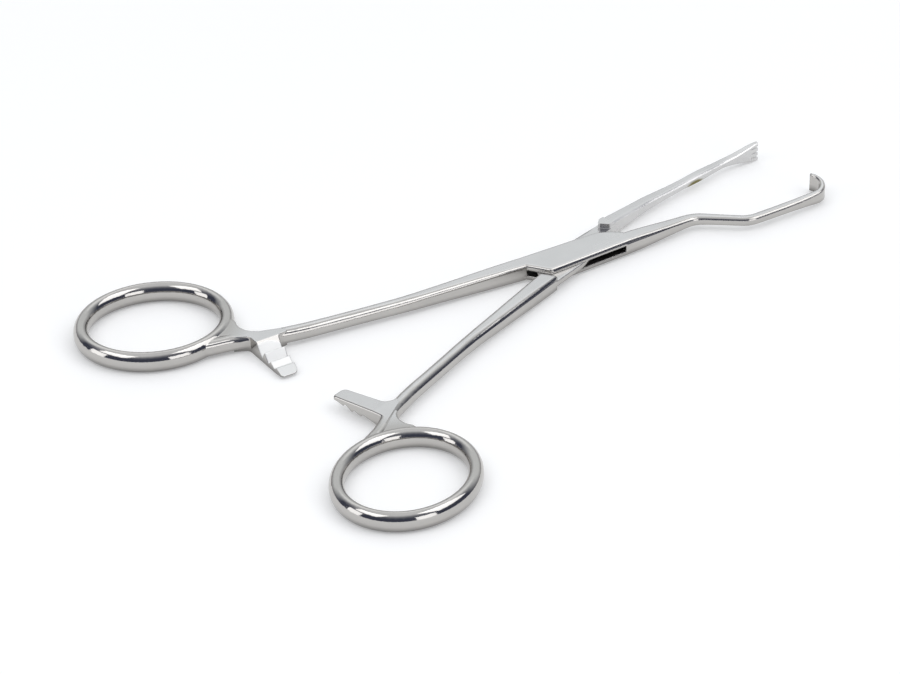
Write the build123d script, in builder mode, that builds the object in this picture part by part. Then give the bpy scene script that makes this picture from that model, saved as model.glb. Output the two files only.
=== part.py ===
from build123d import *
import os

# Tissue forceps with finger rings, lying open on one side.
# One arm is slotted and forms the box lock, the other passes through it on a hidden pin.
# Millimetres. The origin is on the pin's axis at the underside of the box lock,
# +X runs along the instrument to the jaws, +Z is up.

# Box lock
box_height = 3.5
box_handle_half_width = 3.7
box_jaw_half_width = 3.1
box_end = 10.9
box_jaw_end = 12.2
box_corner = 7.8
box_edge_radius = 0.5
box_nose = [(6.5, 3.22), (10.3, 1.75)]
arm_gap = 0.6
slot_half_length = 10.6
slot_overrun = 3.4
slot_height = 1.3
tongue_clearance = 0.04
tongue_nose = [(6.0, 3.1), (9.2, 2.0), (10.3, -0.3)]
pin_radius = 1.25
pin_clearance = 0.04
rest_angle = 17.0

# Handles: the two rings are staggered along the instrument by twice ring_stagger
handle_reach = 80.75
ring_stagger = 0.85
ring_offset = 24.1
ring_long_radius = 14.4
ring_short_radius = 12.2
ring_turn = -7.4
ring_width = 3.0
ring_height = 4.2
web_height = 3.1
web_edge_radius = 0.35

# Ratchet: setbacks from the handle's reach along the arm, then sizes across it
female_bar_setback = 11.35
female_bar_widths = (3.7, 5.0)
female_bar_tip = 3.1
female_bar_fillet = 0.5
male_bar_setback = 12.25
male_bar_widths = (3.4, 4.1)
male_bar_tip = 3.7
male_bar_fillet = 2.0
bar_root = 6.4
bar_corner_radius = 1.2
bar_edge_radius = 0.4
tooth_pitch = 2.2
first_crest = -1.05
female_tooth_run = 0.8
male_tooth_run = 0.5
female_valley_height = 0.75
male_tooth_depth = 0.55
root_height = 3.3
female_tip_heights = (0.30, 0.45)
male_tip_heights = (2.65, 1.95, 1.78)
male_root_heights = (0.80, 0.35)

# Crest heights of the ratchet teeth above the underside, from the bar's tip to its root
female_crest_heights = [1.30, 1.60, 2.40]
male_crest_heights = [1.40, 0.90, 0.85]

# Rake
prong_count = 4
prong_pitch = 1.06
prong_gap = 0.6
prong_length = 2.0
rake_tip = 55.8

mid = box_height / 2
half_angle = rest_angle / 2
tongue_height = slot_height - 2 * tongue_clearance
female_ring_reach = handle_reach + ring_stagger
male_ring_reach = handle_reach - ring_stagger
female_frame = Plane.XY.offset(mid).rotated((0, 0, -half_angle))
male_frame = Plane.XY.offset(mid).rotated((0, 0, half_angle))

# Shank centreline from the box lock into the ring: share of the way to the ring's middle, along and across
shank_shares = [(0.0, 0.0), (0.374, 0.087), (0.674, 0.209), (0.780, 0.277), (0.868, 0.400), (0.975, 0.455)]
shank_bends = [150.0, 60.0, 25.0, 20.0]
# Sections at shares of that line: width, height, corner radius
shank_section_shares = [0.0, 0.12, 0.38, 0.68, 0.84, 1.0]
shank_sections = [
    (3.45, 3.50, 0.50),
    (3.20, 3.40, 0.65),
    (2.65, 3.00, 1.00),
    (2.70, 3.00, 1.15),
    (2.65, web_height, 1.10),
    (2.40, web_height, 1.10),
]

# Goose-neck centreline in the female frame, then its sections
neck_points = [(11.6, -1.48), (28.2, -1.3), (37.0, -8.15), (58.9, -8.2), (56.1, -2.75)]
neck_bends = [6.0, 5.0, 3.4]
neck_shares = [0.00, 0.10, 0.26, 0.40, 0.62, 0.80, 0.90, 1.00]
neck_sections = [
    (3.25, 3.50, 0.50),
    (3.10, 3.10, 0.60),
    (2.50, 2.20, 0.70),
    (2.00, 1.90, 0.65),
    (1.90, 1.90, 0.60),
    (1.70, 2.20, 0.50),
    (1.20, 3.00, 0.40),
    (0.70, 3.90, 0.25),
]

# Rake jaw centreline in the male frame, then its sections
rake_points = [(12.2, 1.85), (25.0, 1.5), (47.5, -1.0), (rake_tip, -3.35)]
rake_bends = [30.0, 12.0]
rake_shares = [0.00, 0.10, 0.20, 0.33, 0.55, 0.76, 0.86, 0.94, 1.00]
rake_sections = [
    (2.75, 3.50, 0.45),
    (2.55, 3.10, 0.50),
    (2.40, 2.60, 0.50),
    (2.20, 2.10, 0.50),
    (1.85, 1.70, 0.45),
    (1.65, 1.50, 0.40),
    (1.50, 2.00, 0.35),
    (1.30, 3.40, 0.30),
    (0.80, 4.10, 0.20),
]

# Shoulders of the male arm in its own frame, where its full height begins
handle_shoulder = [(-11.4, 1.0), (-10.9, -0.5), (-9.5, -3.9), (-9.3, -4.5), (-6.0, -4.5), (-6.0, 1.0)]
jaw_shoulder = [(12.1, 0.5), (11.1, 2.1), (11.1, 2.6), (12.1, 3.22), (13.4, 3.2), (13.4, 0.5)]


def across(frame, x, y):
    """A plane square to an arm's length at x, y of its own frame."""
    origin = frame.from_local_coords(Vector(x, y, 0))
    return Plane(origin=origin, x_dir=frame.y_dir, z_dir=frame.x_dir)


def along(line, share):
    """A plane square to a centreline at a share of its length."""
    heading = line % share
    return Plane(origin=line @ share, x_dir=Vector(0, 0, 1).cross(heading), z_dir=heading)


def swept_arm(path, shares, sections):
    """A bar swept along its centreline through changing sections."""
    with BuildPart() as arm:
        for share, (width, height, radius) in zip(shares, sections):
            with BuildSketch(along(path, share)):
                RectangleRounded(width, height, radius)
        sweep(path=path, multisection=True)
    return arm.part


def box_outline(frame):
    """Plan of the box lock: handle half at +Y, jaw half at -Y with a rounded nose."""
    with BuildSketch(frame.offset(-mid)) as outline:
        with BuildLine():
            Polyline(
                (box_jaw_end, arm_gap / 4),
                (box_jaw_end, -box_jaw_half_width),
                (-box_corner, -box_handle_half_width),
                (-box_end, arm_gap / 2),
                (-box_end - arm_gap, arm_gap / 2),
                (-box_end - arm_gap, box_handle_half_width),
                box_nose[0],
            )
            ThreePointArc(*box_nose, (box_jaw_end, arm_gap / 4))
        make_face()
    return outline.sketch


def slot_outline(frame):
    """Plan of the slot: closed towards this arm's own handle and jaw, open where the other arm lies."""
    open_end = slot_half_length + slot_overrun
    side = 2 * box_handle_half_width
    with BuildSketch(frame.offset(-slot_height / 2)) as outline:
        Polygon(
            (-slot_half_length, side),
            (-slot_half_length, arm_gap / 2),
            (-open_end, arm_gap / 2),
            (-open_end, -side),
            (slot_half_length, -side),
            (slot_half_length, arm_gap / 4),
            (open_end, arm_gap / 4),
            (open_end, side),
            align=None,
        )
    return outline.sketch


def tongue_outline(frame):
    """Plan of the tongue: the box lock's width, cut back where the slot ends."""
    nose = [(x, -y) for x, y in tongue_nose]
    jaw_end = box_jaw_end + arm_gap / 2
    with BuildSketch(frame.offset(-tongue_height / 2)) as outline:
        with BuildLine():
            Polyline(
                nose[2],
                (jaw_end, arm_gap / 2),
                (jaw_end, box_jaw_half_width),
                (-box_corner, box_handle_half_width),
                (-box_end, -arm_gap / 2),
                (-box_end - arm_gap, -arm_gap / 2),
                (-box_end - arm_gap, -box_handle_half_width),
                nose[0],
            )
            ThreePointArc(*nose)
        make_face()
    return outline.sketch


def full_height_block(frame, points):
    """An upright block through the box lock's height."""
    with BuildPart() as block:
        with BuildSketch(frame.offset(-mid)):
            Polygon(*points, align=None)
        extrude(amount=box_height)
    return block.part


def shank(frame, side, start):
    """The handle's shank from start, a reach ahead of the box lock's end, into the ring."""
    centre = box_handle_half_width - shank_sections[0][0] / 2
    course = []
    for share, lean in shank_shares:
        x = -box_end - share * (handle_reach - box_end)
        course.append((x, side * (centre + lean * (ring_offset - centre))))
    with BuildLine(frame) as centreline:
        FilletPolyline(*course, radius=shank_bends)
    path = centreline.wires()[0]
    with BuildPart() as arm:
        add(swept_arm(path, shank_section_shares, shank_sections))
        if start > 0:
            with BuildSketch(along(path, 0)):
                RectangleRounded(*shank_sections[0])
            extrude(amount=-start)
    return arm.part


def finger_ring(frame, side, ring_reach):
    """An oval ring of oval section."""
    ring_plane = Plane(
        origin=frame.from_local_coords(Vector(-ring_reach, side * ring_offset, 0)),
        x_dir=frame.rotated((0, 0, side * ring_turn)).x_dir,
        z_dir=frame.z_dir,
    )
    with BuildPart() as ring:
        with BuildLine(ring_plane) as ring_line:
            EllipticalCenterArc((0, 0), ring_long_radius, ring_short_radius, 0, arc_size=360)
        start = ring_line.line @ 0
        heading = ring_line.line % 0
        with BuildSketch(Plane(origin=start, x_dir=frame.z_dir, z_dir=heading)):
            Ellipse(ring_height / 2, ring_width / 2)
        sweep(path=ring_line.line)
    return ring.part


def ring_web(frame, side, ring_reach):
    """The hollow-cornered web where shank and ring part."""
    shares = [
        (1.007, -1.164),
        (0.868, -0.943),
        (0.885, -0.787),
        (0.866, -0.600),
        (0.810, -0.560),
        (0.643, -0.766),
        (0.375, -0.927),
        (0.560, -1.000),
        (0.875, -1.160),
        (1.007, -1.221),
    ]
    points = []
    for x_share, y_share in shares:
        x = x_share * ring_long_radius - ring_reach
        points.append((x, side * (ring_offset + y_share * ring_short_radius)))
    with BuildPart() as web:
        with BuildSketch(frame.offset(-web_height / 2)):
            with BuildLine():
                ThreePointArc(*points[:3])
                Polyline(*points[2:], points[0])
            make_face()
        extrude(amount=web_height)
        fillet(web.edges().filter_by(GeomType.CIRCLE), radius=web_edge_radius)
    return web.part


def jaw(frame, points, bends, shares, sections):
    """A jaw along its bent centreline."""
    with BuildLine(frame) as centreline:
        FilletPolyline(*points, radius=bends)
    return swept_arm(centreline.wires()[0], shares, sections)


def female_teeth():
    """Side view of the bar whose teeth look up: distance from the arm's axis, height."""
    far_end = bar_root + 2 * tooth_pitch
    points = [(far_end, 0.0), (tooth_pitch - female_bar_tip, 0.0)]
    points.extend((-female_bar_tip, height) for height in female_tip_heights)
    for number, crest in enumerate(female_crest_heights):
        reach = first_crest + tooth_pitch * number
        points.append((reach, crest))
        points.append((reach + female_tooth_run, female_valley_height))
    points.append((bar_root, root_height))
    points.append((far_end, root_height))
    return points


def male_teeth():
    """Side view of the bar whose teeth look down."""
    far_end = bar_root + 2 * tooth_pitch
    points = [(far_end, root_height), (bar_root, root_height)]
    points.append((-male_bar_tip, male_tip_heights[0]))
    points.append((-male_bar_tip, male_tip_heights[1]))
    points.append((first_crest - tooth_pitch * 0.6, male_tip_heights[2]))
    for number, crest in enumerate(male_crest_heights):
        reach = first_crest + tooth_pitch * number
        points.append((reach, crest))
        points.append((reach + male_tooth_run, crest + male_tooth_depth))
    points.append((bar_root, male_root_heights[0]))
    points.append((bar_root + tooth_pitch * 0.8, male_root_heights[1]))
    points.append((far_end, male_root_heights[1]))
    return points


def ratchet(frame, side, setback, widths, tip, side_view, root_radius, top_radius):
    """A toothed bar reaching in from the shank, its side view cut to its plan."""
    ring_edge = setback - handle_reach
    tip_corner = (ring_edge + widths[0], -side * tip)
    root_corner = (ring_edge + widths[1], side * bar_root)
    ring_corner = (ring_edge, side * bar_root * 1.38)
    outer_tip = (ring_edge, -side * tip)
    with BuildPart() as bar:
        with BuildSketch(across(frame, ring_edge - bar_root / 2, 0)):
            Polygon(*[(side * reach, height - mid) for reach, height in side_view], align=None)
        extrude(amount=bar_root * 1.6)
        with BuildSketch(frame.offset(-mid)) as plan:
            Polygon(
                outer_tip,
                tip_corner,
                root_corner,
                (root_corner[0] + bar_root * 0.36, side * bar_root * 1.03),
                (root_corner[0] + bar_root * 0.25, side * bar_root * 1.25),
                (ring_edge - bar_root * 0.25, side * bar_root * 1.68),
                (ring_edge - bar_root * 0.42, side * bar_root * 1.58),
                ring_corner,
                align=None,
            )
            fillet(plan.vertices().sort_by_distance(outer_tip)[0], radius=bar_corner_radius / 2)
            fillet(plan.vertices().sort_by_distance(tip_corner)[0], radius=bar_corner_radius)
            fillet(plan.vertices().sort_by_distance(root_corner)[0], radius=root_radius)
            fillet(plan.vertices().sort_by_distance(ring_corner)[0], radius=bar_corner_radius)
        extrude(amount=box_height, mode=Mode.INTERSECT)
        if top_radius > 0:
            top = bar.faces().filter_by(lambda face: face.normal_at().Z > 0.9).sort_by(SortBy.AREA)[-1]
            fillet(top.edges(), radius=top_radius)
    return bar.part


def rake_cut(frame):
    """The wedge-shaped spaces between the prongs."""
    reach = 2 * rake_sections[-1][1]
    with BuildPart() as cut:
        for number in range(prong_count - 1):
            level = prong_pitch * (number - (prong_count - 2) / 2)
            with BuildSketch(across(frame, rake_tip - prong_length, 0)):
                with Locations((0, level)):
                    Rectangle(reach, prong_gap / 6)
            with BuildSketch(across(frame, rake_tip + prong_gap, 0)):
                with Locations((0, level)):
                    Rectangle(reach, prong_gap)
            loft()
    return cut.part


with BuildPart() as female_arm:
    add(box_outline(female_frame))
    extrude(amount=box_height)
    faces = female_arm.faces().filter_by(Axis.Z)
    fillet(faces.edges(), radius=box_edge_radius)
    add(shank(female_frame, 1, 0))
    add(finger_ring(female_frame, 1, female_ring_reach))
    add(ring_web(female_frame, 1, female_ring_reach))
    add(jaw(female_frame, neck_points, neck_bends, neck_shares, neck_sections))
    add(
        ratchet(
            female_frame,
            side=1,
            setback=female_bar_setback,
            widths=female_bar_widths,
            tip=female_bar_tip,
            side_view=female_teeth(),
            root_radius=female_bar_fillet,
            top_radius=0,
        )
    )
    add(slot_outline(female_frame))
    extrude(amount=slot_height, mode=Mode.SUBTRACT)
    with BuildSketch(Plane.XY):
        Circle(pin_radius)
    extrude(amount=box_height, mode=Mode.SUBTRACT)

with BuildPart() as male_arm:
    add(shank(male_frame, -1, box_corner - box_end + box_end / 2))
    add(full_height_block(male_frame, handle_shoulder), mode=Mode.SUBTRACT)
    add(tongue_outline(male_frame))
    extrude(amount=tongue_height)
    add(full_height_block(male_frame, jaw_shoulder))
    add(finger_ring(male_frame, -1, male_ring_reach))
    add(ring_web(male_frame, -1, male_ring_reach))
    add(jaw(male_frame, rake_points, rake_bends, rake_shares, rake_sections))
    add(
        ratchet(
            male_frame,
            side=-1,
            setback=male_bar_setback,
            widths=male_bar_widths,
            tip=male_bar_tip,
            side_view=male_teeth(),
            root_radius=male_bar_fillet,
            top_radius=bar_edge_radius,
        )
    )
    add(rake_cut(male_frame), mode=Mode.SUBTRACT)
    with BuildSketch(Plane.XY):
        Circle(pin_radius + pin_clearance)
    extrude(amount=box_height, mode=Mode.SUBTRACT)

with BuildPart() as pivot_pin:
    with BuildSketch(Plane.XY):
        Circle(pin_radius)
    extrude(amount=box_height)

os.makedirs("parts", exist_ok=True)
female_arm.part.label = "female_arm"
export_step(female_arm.part, "parts/female_arm.step")
male_arm.part.label = "male_arm"
export_step(male_arm.part, "parts/male_arm.step")
pivot_pin.part.label = "pivot_pin"
export_step(pivot_pin.part, "parts/pivot_pin.step")
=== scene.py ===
import bpy
from mathutils import Matrix, Vector

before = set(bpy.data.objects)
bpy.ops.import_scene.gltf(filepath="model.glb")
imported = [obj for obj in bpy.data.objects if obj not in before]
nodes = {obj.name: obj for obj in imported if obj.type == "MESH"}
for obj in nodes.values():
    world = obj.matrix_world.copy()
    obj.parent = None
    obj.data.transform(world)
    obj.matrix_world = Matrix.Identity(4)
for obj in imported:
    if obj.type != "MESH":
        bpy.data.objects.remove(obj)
bpy.context.view_layer.update()
print("forceps loaded:", sorted(nodes))

scene = bpy.context.scene
scene.view_settings.view_transform = "Standard"


def deselectAll():
    bpy.ops.object.select_all(action="DESELECT")


cameraSetup = {
    "position": (-0.591345, -0.623772, 0.538904),  # metres, long lens from the near left
    "right": (0.744049, -0.668122, -0.001982),
    "up": (0.364123, 0.403013, 0.839640),
    "ahead": (0.560183, 0.625455, -0.543140),
    "lens": 205.764,  # millimetres, as the sensor
    "sensor": 36.0,
    "clip": (0.05, 20.0),
}


def addCamera(setup):
    back = -Vector(setup["ahead"])
    turn = Matrix((Vector(setup["right"]), Vector(setup["up"]), back)).transposed().to_4x4()
    data = bpy.data.cameras.new("productCamera")
    data.lens = setup["lens"]
    data.sensor_fit = "HORIZONTAL"
    data.sensor_width = setup["sensor"]
    data.clip_start, data.clip_end = setup["clip"]
    camera = bpy.data.objects.new("productCamera", data)
    scene.collection.objects.link(camera)
    camera.matrix_world = Matrix.Translation(setup["position"]) @ turn
    scene.camera = camera


addCamera(cameraSetup)
print("camera placed")


# short forms for the node trees
def newTree(owner):
    owner.use_nodes = True
    tree = owner.node_tree
    tree.nodes.clear()
    return tree


def addNode(tree, kind, inputs=None, **settings):
    node = tree.nodes.new(kind)
    for name, value in settings.items():
        setattr(node, name, value)
    for name, value in (inputs or {}).items():
        if isinstance(value, bpy.types.NodeSocket):
            tree.links.new(value, node.inputs[name])
        else:
            node.inputs[name].default_value = value
    return node


def addRamp(tree, factor, stops):
    ramp = addNode(tree, "ShaderNodeValToRGB", {"Fac": factor})
    elements = ramp.color_ramp.elements
    while len(elements) < len(stops):
        elements.new(0.5)
    for element, (place, colour) in zip(elements, stops):
        element.position = place
        element.color = (*colour, 1.0)
    return ramp.outputs["Color"]


def mapRange(tree, value, low, high, start=0.0, end=1.0):
    node = addNode(tree, "ShaderNodeMapRange", {
        "Value": value, "From Min": low, "From Max": high, "To Min": start, "To Max": end,
    }, clamp=True)
    return node.outputs["Result"]


def combine(tree, operation, first, second, **settings):
    node = addNode(tree, "ShaderNodeMath", {0: first, 1: second}, operation=operation, **settings)
    return node.outputs["Value"]


def absolute(tree, value):
    return addNode(tree, "ShaderNodeMath", {0: value}, operation="ABSOLUTE").outputs["Value"]


def product(tree, first, *others):
    for other in others:
        first = combine(tree, "MULTIPLY", first, other)
    return first


def splitAxes(tree, vector):
    return addNode(tree, "ShaderNodeSeparateXYZ", {"Vector": vector}).outputs


def vectorMath(tree, operation, output, *vectors):
    inputs = dict(enumerate(vectors))
    return addNode(tree, "ShaderNodeVectorMath", inputs, operation=operation).outputs[output]


def mixColour(tree, share, first, second, blend="MIX"):
    first, second = [
        (*colour, 1.0) if isinstance(colour, tuple) else colour for colour in (first, second)
    ]
    inputs = {"Fac": share, "Color1": first, "Color2": second}
    return addNode(tree, "ShaderNodeMixRGB", inputs, blend_type=blend).outputs["Color"]


# polished instrument steel: satin flats, buffed edges, mirror rings, rougher slot walls; painted
# shade at the lower rim and inside the slot, a painted highlight on the up-facing ratchet teeth,
# and painted light in the paler tone of the rake jaw
steelFinish = {
    "satinRough": 0.27,
    "mirrorRough": 0.10,
    "cloudRough": 0.03,  # the clouds change the roughness up and down by this
    "slotRough": 0.35,  # added inside the slot
    "teethRough": 0.3,  # added on the up-facing ratchet teeth, which carry a painted highlight
    "satinTone": (0.65, 0.645, 0.64),
    "mirrorTone": (0.51, 0.495, 0.475),
    # painted highlight: a pale tone for the up-facing ratchet teeth
    "teethHighlightTone": (0.72, 0.72, 0.71),
    "stainTone": (0.16, 0.14, 0.035),
    # painted shade: a near-black tone for the flats inside the slot
    "slotShadeTone": (0.045, 0.043, 0.042),
    "cloudTones": [(0.30, (0.92, 0.92, 0.92)), (0.70, (1.0, 1.0, 1.0))],
    "cloudScale": 90.0,
    "rimShade": 0.36,  # painted shade: tone left on mirror surfaces at the lowest rim
    "rimHeights": (-0.0003, 0.0014),
    "lineScale": 900.0,
    "lineStretch": 0.06,
    "lineBump": 0.12,
    "mirrorLines": 0.15,  # share of the lines that is left on mirror surfaces
    "lineDepth": 0.00002,
    "satinTilt": (0.970, 0.998),  # upward share of the normal where a flat turns satin
    "ringReach": (0.0150, 0.0190),  # metres from the middle of the finger ring
    "edgeRound": 0.00028,
    "shankRound": 0.00065,
    "jawRound": 0.00075,
    "crispRound": 0.00005,
    "roundSpan": (-0.1, 0.1),  # the stretch of X that the edge roundings are given on
    "pinReach": (0.0021, 0.0026),  # metres from the hinge axis
}

slotWalls = {
    "middle": 0.00175,
    "heights": (0.00066, 0.00070),  # metres above and below the middle
    "lengths": (0.0128, 0.0134),  # metres before and behind the pin
    "tilt": (0.8, 0.9),
}

rakeJaw = {
    "from": (0.0095, 0.0105),  # where it leaves the box lock
    "edgeTilt": (0.04, 0.12),
    "edgeLean": 1.2,
}


# painted shade: the flats inside the slot are painted near black, standing in for the shade in the
# slot, and made rougher
def slotShadeMask(tree, walls, at, tilt, hasSlot):
    level = absolute(tree, combine(tree, "SUBTRACT", at["Z"], walls["middle"]))
    inSlot = mapRange(tree, level, *walls["heights"], 1.0, 0.0)
    nearPin = mapRange(tree, absolute(tree, at["X"]), *walls["lengths"], 1.0, 0.0)
    return product(tree, inSlot, nearPin, mapRange(tree, tilt, *walls["tilt"], 0.0, hasSlot))


# edges are softened by the polishing wheel, but not round the flush pin
def softNormal(tree, arm, finish, at, normal):
    low, high = finish["roundSpan"]
    stops = [
        ((x - low) / (high - low), (finish[kind] * 1000,) * 3) for x, kind in arm["rounding"]
    ]
    millimetres = addRamp(tree, mapRange(tree, at["X"], low, high), stops)
    radius = combine(tree, "MULTIPLY", millimetres, 0.001)
    softened = addNode(tree, "ShaderNodeBevel", {"Radius": radius}, samples=8).outputs["Normal"]
    across = addNode(tree, "ShaderNodeCombineXYZ", {"X": at["X"], "Y": at["Y"]}).outputs["Vector"]
    awayFromPin = mapRange(tree, vectorMath(tree, "LENGTH", "Value", across), *finish["pinReach"])
    rounded = addNode(tree, "ShaderNodeMix", {"Factor": awayFromPin}, data_type="VECTOR")
    tree.links.new(normal, rounded.inputs[4])  # the vector sockets A and B share their names
    tree.links.new(softened, rounded.inputs[5])
    return rounded.outputs[1]


# the upper part of the side walls leans up a little, which draws a dark line under the edge,
# and the upper edges of the rake jaw lean more, which draws them bright
def leantNormal(tree, band, jaw, at, onRakeJaw, soft):
    facing = splitAxes(tree, soft)
    leaning = product(
        tree,
        mapRange(tree, at["X"], *band["start"]),
        mapRange(tree, at["X"], *band["end"], 1.0, 0.0),
        mapRange(tree, at["Z"], *band["foot"], 0.0, band["lean"]),
    )
    edge = mapRange(tree, facing["Z"], *jaw["edgeTilt"], 0.0, jaw["edgeLean"])
    leaning = combine(tree, "MAXIMUM", leaning, product(tree, onRakeJaw, edge))
    short = combine(tree, "SUBTRACT", leaning, combine(tree, "MAXIMUM", facing["Z"], 0.0))
    risen = combine(tree, "ADD", facing["Z"], combine(tree, "MAXIMUM", short, 0.0))
    leant = addNode(tree, "ShaderNodeCombineXYZ", {"X": facing["X"], "Y": facing["Y"], "Z": risen})
    return vectorMath(tree, "NORMALIZE", "Vector", leant.outputs["Vector"])


# painted highlight: the ratchet teeth that look up are painted pale and made rougher, standing in
# for the light they catch
def teethHighlightMask(tree, teeth, place, at, facingUp):
    fromTeeth = vectorMath(tree, "DISTANCE", "Value", place, teeth["at"])
    return product(
        tree,
        mapRange(tree, fromTeeth, *teeth["radius"], 1.0, 0.0),
        mapRange(tree, facingUp, *teeth["tilt"]),
        mapRange(tree, at["Z"], *teeth["top"], 1.0, 0.0),
    )


# a small olive stain on the side of the rake jaw, with a ragged edge
def stainMask(tree, stain, place, lines):
    fromStain = vectorMath(tree, "SUBTRACT", "Vector", place, stain["at"])
    stretched = addNode(tree, "ShaderNodeMapping", {
        "Vector": fromStain, "Rotation": (0, 0, stain["turn"]), "Scale": stain["stretch"],
    }).outputs["Vector"]
    away = vectorMath(tree, "LENGTH", "Value", stretched)
    ragged = mapRange(tree, lines, 0.3, 0.7, -stain["ragged"], stain["ragged"])
    away = combine(tree, "ADD", away, ragged)
    return mapRange(tree, away, *stain["radius"], stain["strength"], 0.0)


def steelMaterial(arm, finish):
    material = bpy.data.materials.new(arm["material"])
    tree = newTree(material)
    place = addNode(tree, "ShaderNodeTexCoord").outputs["Object"]
    normal = addNode(tree, "ShaderNodeNewGeometry").outputs["Normal"]
    at = splitAxes(tree, place)
    facingUp = splitAxes(tree, normal)["Z"]
    tilt = absolute(tree, facingUp)

    # fine polishing lines run along the arm
    along = addNode(tree, "ShaderNodeMapping", {
        "Vector": place, "Rotation": (0, 0, arm["armTurn"]),
        "Scale": (finish["lineStretch"], 1.0, 1.0),
    }).outputs["Vector"]
    lines = addNode(tree, "ShaderNodeTexNoise", {
        "Vector": along, "Scale": finish["lineScale"], "Detail": 3.0, "Roughness": 0.6,
    }).outputs["Fac"]
    clouds = addNode(tree, "ShaderNodeTexNoise", {
        "Vector": place, "Scale": finish["cloudScale"], "Detail": 4.0, "Roughness": 0.55,
    }).outputs["Fac"]

    # the finger ring is a mirror all round, the flats beyond it and the rake jaw are satin; on the
    # rake jaw the paler satin tone is also painted light, standing in for the brighter reflection
    # on its sides
    fromRing = vectorMath(tree, "DISTANCE", "Value", place, arm["ringMiddle"])
    beyondRing = mapRange(tree, fromRing, *finish["ringReach"])
    flats = product(tree, mapRange(tree, tilt, *finish["satinTilt"]), beyondRing)
    # painted light: the rake jaw counts as satin, which gives it the paler tone and no rim shade
    onRakeJaw = mapRange(tree, at["X"], *rakeJaw["from"], 0.0, arm["hasRake"])
    satin = combine(tree, "MAXIMUM", flats, onRakeJaw)
    slotShade = slotShadeMask(tree, slotWalls, at, tilt, arm["hasSlot"])

    rough = mapRange(tree, satin, 0.0, 1.0, finish["mirrorRough"], finish["satinRough"])
    uneven = mapRange(tree, clouds, 0.3, 0.7, -finish["cloudRough"], finish["cloudRough"])
    rough = combine(tree, "ADD", rough, uneven)
    rough = combine(tree, "ADD", rough, mapRange(tree, slotShade, 0.0, 1.0, 0.0, finish["slotRough"]))

    soft = softNormal(tree, arm, finish, at, normal)
    leant = leantNormal(tree, arm["band"], rakeJaw, at, onRakeJaw, soft)
    mirrorBump = finish["mirrorLines"] * finish["lineBump"]
    bump = addNode(tree, "ShaderNodeBump", {
        "Height": lines, "Distance": finish["lineDepth"], "Normal": leant,
        "Strength": mapRange(tree, satin, 0.0, 1.0, mirrorBump, finish["lineBump"]),
    }).outputs["Normal"]

    # mirror surfaces are a little darker than satin ones, and painted shade makes them darker
    # still towards the bottom rim
    rimPaintedShade = mapRange(tree, at["Z"], *finish["rimHeights"], finish["rimShade"], 1.0)
    rimPaintedShade = combine(tree, "MAXIMUM", rimPaintedShade, satin)
    colour = mixColour(tree, satin, finish["mirrorTone"], finish["satinTone"])
    cloudTone = addRamp(tree, clouds, finish["cloudTones"])
    colour = mixColour(tree, 1.0, colour, cloudTone, "MULTIPLY")
    colour = mixColour(tree, 1.0, colour, rimPaintedShade, "MULTIPLY")
    # painted shade: the flats inside the slot turn near black
    colour = mixColour(tree, slotShade, colour, finish["slotShadeTone"])
    # painted highlight: the up-facing ratchet teeth turn pale
    if arm["teeth"]:
        teethHighlight = teethHighlightMask(tree, arm["teeth"], place, at, facingUp)
        colour = mixColour(tree, teethHighlight, colour, finish["teethHighlightTone"])
        rough = combine(tree, "ADD", rough, product(tree, teethHighlight, finish["teethRough"]))
    if arm["stain"]:
        stained = stainMask(tree, arm["stain"], place, lines)
        colour = mixColour(tree, stained, colour, finish["stainTone"])

    shader = addNode(tree, "ShaderNodeBsdfPrincipled", {
        "Base Color": colour, "Metallic": 1.0, "Roughness": rough, "Normal": bump,
    })
    addNode(tree, "ShaderNodeOutputMaterial", {"Surface": shader.outputs["BSDF"]})
    return material


slottedArm = {
    "node": "female_arm",
    "material": "slottedArmSteel",
    "armTurn": 0.148,  # radians, lays the polishing lines along the arm
    "ringMiddle": (-0.0771, 0.0359, 0.0018),
    "hasSlot": 1.0,
    "hasRake": 0.0,
    "rounding": [
        (-0.060, "edgeRound"), (-0.056, "shankRound"), (0.020, "shankRound"),
        (0.030, "jawRound"), (0.056, "jawRound"), (0.059, "edgeRound"),
    ],
    "band": {
        "start": (-0.0086, -0.0076), "end": (0.028, 0.034),  # fades along X
        "foot": (0.00240, 0.00252), "lean": 0.36,  # fades up Z
    },
    "teeth": {
        "at": (-0.0672, 0.0098, 0.0018), "radius": (0.0063, 0.0066),
        "tilt": (0.15, 0.30), "top": (0.0030, 0.0031),
    },
    "stain": None,
}

tongueArm = {
    "node": "male_arm",
    "material": "tongueArmSteel",
    "armTurn": -0.148,
    "ringMiddle": (-0.0754, -0.0357, 0.0018),
    "hasSlot": 0.0,
    "hasRake": 1.0,
    "rounding": [
        (-0.060, "edgeRound"), (-0.056, "shankRound"),
        (0.0080, "shankRound"), (0.0100, "crispRound"),
    ],
    "band": {
        "start": (-0.062, -0.061), "end": (-0.0090, -0.0030),
        "foot": (0.00240, 0.00252), "lean": 0.45,
    },
    "teeth": None,
    "stain": {
        "at": (0.0380, 0.0048, 0.0012), "turn": -0.04, "stretch": (0.34, 1.0, 1.0),
        "ragged": 0.0002, "radius": (0.0005, 0.0009), "strength": 0.95,
    },
}

flushPin = {
    "node": "pivot_pin",
    "material": "pinSteel",
    "armTurn": 0.148,
    "ringMiddle": (-0.0771, 0.0359, 0.0018),  # the slotted arm's ring, far from the pin
    "hasSlot": 0.0,
    "hasRake": 0.0,
    "rounding": [(-0.060, "edgeRound"), (-0.056, "shankRound")],
    "band": {
        "start": (-0.0125, -0.0115), "end": (0.028, 0.034),
        "foot": (0.00240, 0.00252), "lean": 0.36,
    },
    "teeth": None,
    "stain": None,
}

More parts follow.
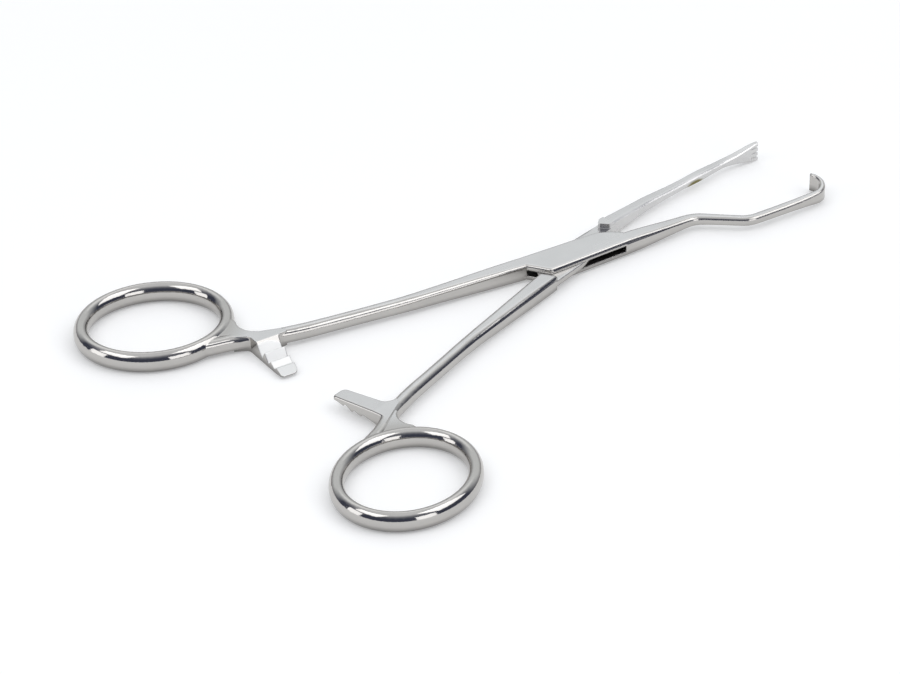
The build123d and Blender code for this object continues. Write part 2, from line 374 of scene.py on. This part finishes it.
for arm in (slottedArm, tongueArm, flushPin):
    steel = steelMaterial(arm, steelFinish)
    for slot in nodes[arm["node"]].material_slots:
        slot.material = steel
print("steel finished")


# table top, white for the camera and for the steel that mirrors it
tableTop = {"size": 2.4, "height": -0.00036, "colour": (0.78, 0.78, 0.775), "glow": 0.27}


def addTable(setup):
    deselectAll()
    bpy.ops.mesh.primitive_plane_add(size=setup["size"], location=(0, 0, setup["height"]))
    top = bpy.context.object
    top.name = "tableTop"
    material = bpy.data.materials.new("tablePaper")
    tree = newTree(material)
    rays = addNode(tree, "ShaderNodeLightPath").outputs
    seen = combine(tree, "ADD", rays["Is Camera Ray"], rays["Is Glossy Ray"], use_clamp=True)
    seen = combine(tree, "ADD", seen, rays["Is Transmission Ray"], use_clamp=True)
    paper = addNode(tree, "ShaderNodeBsdfDiffuse", {"Color": (*setup["colour"], 1.0)})
    light = addNode(tree, "ShaderNodeEmission", {
        "Color": (1, 1, 1, 1), "Strength": product(tree, seen, setup["glow"]),
    })
    both = addNode(tree, "ShaderNodeAddShader", {
        0: paper.outputs["BSDF"], 1: light.outputs["Emission"],
    })
    addNode(tree, "ShaderNodeOutputMaterial", {"Surface": both.outputs["Shader"]})
    top.data.materials.append(material)


addTable(tableTop)
print("table laid")

# studio: pale wall ahead of the camera, and a darker room behind it, low down
studio = {
    "room": (0.070, 0.078, 0.115),  # the unlit room, seen low down in the steel
    "dusk": (0.26, 0.27, 0.31),
    "haze": (0.42, 0.42, 0.43),
    "wall": (0.92, 0.95, 0.97),
    "glare": (1.65, 1.68, 1.70),
    "ceiling": (0.95, 0.97, 1.00),
    # heights run from 0 straight down to 1 straight up
    "behind": [(0.0, "room"), (0.73, "room"), (0.86, "dusk"), (0.98, "ceiling")],
    "ahead": [
        (0.0, "haze"), (0.52, "haze"), (0.70, "wall"),
        (0.80, "wall"), (0.90, "glare"), (1.0, "ceiling"),
    ],
    "turn": (0.25, 0.70),  # where the room turns into the wall
}


def addStudio(setup, viewWay):
    world = bpy.data.worlds.new("studio")
    scene.world = world
    tree = newTree(world)
    way = addNode(tree, "ShaderNodeTexCoord").outputs["Generated"]
    height = mapRange(tree, splitAxes(tree, way)["Z"], -1.0, 1.0)
    behind, ahead = [
        addRamp(tree, height, [(place, setup[name]) for place, name in setup[side]])
        for side in ("behind", "ahead")
    ]
    level = Vector(viewWay[:2]).normalized()
    facing = vectorMath(tree, "DOT_PRODUCT", "Value", way, (level.x, level.y, 0.0))
    colour = mixColour(tree, mapRange(tree, facing, *setup["turn"]), behind, ahead)
    light = addNode(tree, "ShaderNodeBackground", {"Color": colour, "Strength": 1.0})
    addNode(tree, "ShaderNodeOutputWorld", {"Surface": light.outputs["Background"]})


addStudio(studio, cameraSetup["ahead"])

softboxes = [
    {"name": "keyBox", "at": (0.50, -0.59, 0.92), "aim": (-0.02, 0.0, 0.0),
     "size": (0.9, 0.8), "watts": 4.1},
    {"name": "fillBox", "at": (-0.77, 0.07, 0.92), "aim": (-0.02, 0.0, 0.0),
     "size": (0.8, 0.6), "watts": 2.6},
    {"name": "leftBox", "at": (-1.05, 0.42, 0.30), "aim": (-0.02, 0.0, 0.05),
     "size": (0.52, 0.62), "watts": 1.8},
    {"name": "rightBox", "at": (-0.05, -1.15, 0.30), "aim": (-0.02, 0.0, 0.05),
     "size": (0.52, 0.62), "watts": 1.8},
]


def addSoftbox(box):
    data = bpy.data.lights.new(box["name"], "AREA")
    data.shape = "RECTANGLE"
    data.size, data.size_y = box["size"]
    data.energy = box["watts"]
    lamp = bpy.data.objects.new(box["name"], data)
    scene.collection.objects.link(lamp)
    lamp.location = box["at"]
    way = Vector(box["aim"]) - Vector(box["at"])
    lamp.rotation_euler = way.to_track_quat("-Z", "Y").to_euler()


for box in softboxes:
    addSoftbox(box)
print("studio lit")
